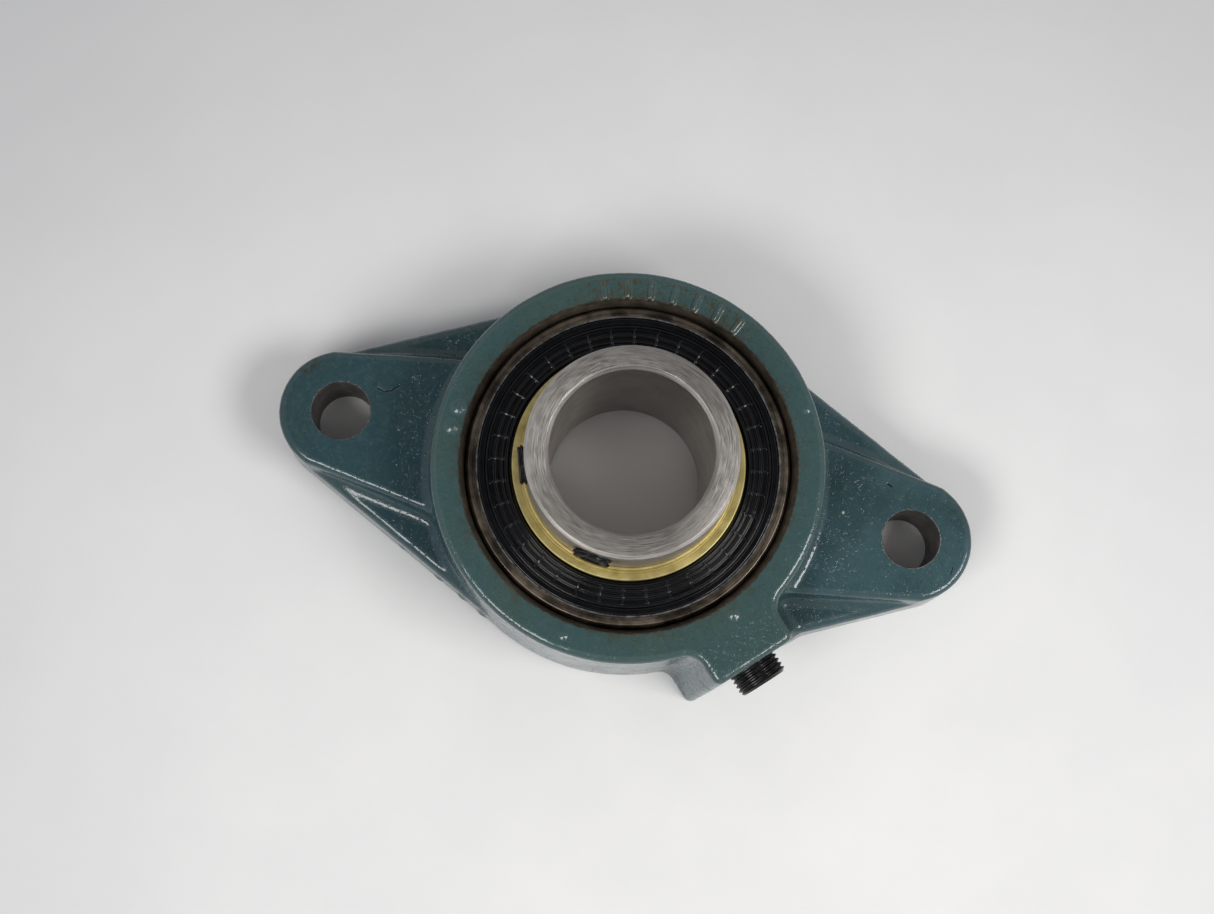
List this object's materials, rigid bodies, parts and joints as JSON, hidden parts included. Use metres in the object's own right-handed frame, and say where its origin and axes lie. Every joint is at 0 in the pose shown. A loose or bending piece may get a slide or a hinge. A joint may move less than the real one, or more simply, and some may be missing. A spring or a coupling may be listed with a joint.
{
  "type": "flange mount bearing",
  "caption": "Two-bolt flange mount ball bearing with a self-aligning insert, set-screw locking and a cast housing",
  "frame": {"origin": "On the mounting face, midway between the two bolt holes, on the axis of the shaft bore", "axes": "+X runs along the row of bolt holes towards the ear beside the grease block, +Z is the shaft axis and points out of the front face, away from the mounting face"},
  "size_m": [0.175, 0.0976, 0.0512],
  "materials": {
    "enamel": "gloss enamel over sand-cast iron",
    "bearing_steel": "ground, oiled",
    "pressed_steel": "pressed sheet steel",
    "seal_rubber": "moulded nitrile rubber, oily",
    "yellow_zinc": "yellow-passivated zinc plate",
    "black_oxide": "black oxide, threaded"
  },
  "bodies": {
    "housing": {"housing": "enamel", "grease_plug": "black_oxide"},
    "pin": {"anti_rotation_pin": "bearing_steel"},
    "outer": {"outer_ring": "bearing_steel", "front_seal_shell": "pressed_steel", "front_seal_rubber": "seal_rubber", "rear_seal_shell": "pressed_steel", "rear_seal_rubber": "seal_rubber"},
    "inner": {"inner_ring": "bearing_steel", "front_flinger": "yellow_zinc", "rear_flinger": "yellow_zinc"},
    "ball_set": {"ball_1": "bearing_steel", "ball_2": "bearing_steel", "ball_3": "bearing_steel", "ball_4": "bearing_steel", "ball_5": "bearing_steel", "ball_6": "bearing_steel", "ball_7": "bearing_steel", "ball_8": "bearing_steel", "ball_9": "bearing_steel", "cage_front_half": "pressed_steel", "cage_rear_half": "pressed_steel", "cage_rivets": "pressed_steel"},
    "screw_a": {"set_screw_a": "black_oxide"},
    "screw_b": {"set_screw_b": "black_oxide"}
  },
  "joints": [
    {"name": "align_pitch", "type": "hinge", "parent": "housing", "child": "pin", "pos_m": [0, 0, 0.021], "axis": [0, 1, 0], "range_deg": [-2, 2]},
    {"name": "align_roll", "type": "hinge", "parent": "pin", "child": "outer", "pos_m": [0, 0, 0.021], "axis": [1, 0, 0], "range_deg": [-2, 2]},
    {"name": "shaft_spin", "type": "hinge", "parent": "outer", "child": "inner", "pos_m": [0, 0, 0.021], "axis": [0, 0, 1], "continuous": true},
    {"name": "ball_orbit", "type": "hinge", "parent": "outer", "child": "ball_set", "pos_m": [0, 0, 0.021], "axis": [0, 0, 1], "continuous": true},
    {"name": "screw_a_travel", "type": "slide", "parent": "inner", "child": "screw_a", "axis": [-0.9548, -0.2974, 0], "range_m": [-0.0005, 0.002]},
    {"name": "screw_b_travel", "type": "slide", "parent": "inner", "child": "screw_b", "axis": [-0.1478, -0.989, 0], "range_m": [-0.0005, 0.002]}
  ],
  "couplings": [
    {"joint": "ball_orbit", "follows": "shaft_spin", "ratio": 0.4008}
  ]
}
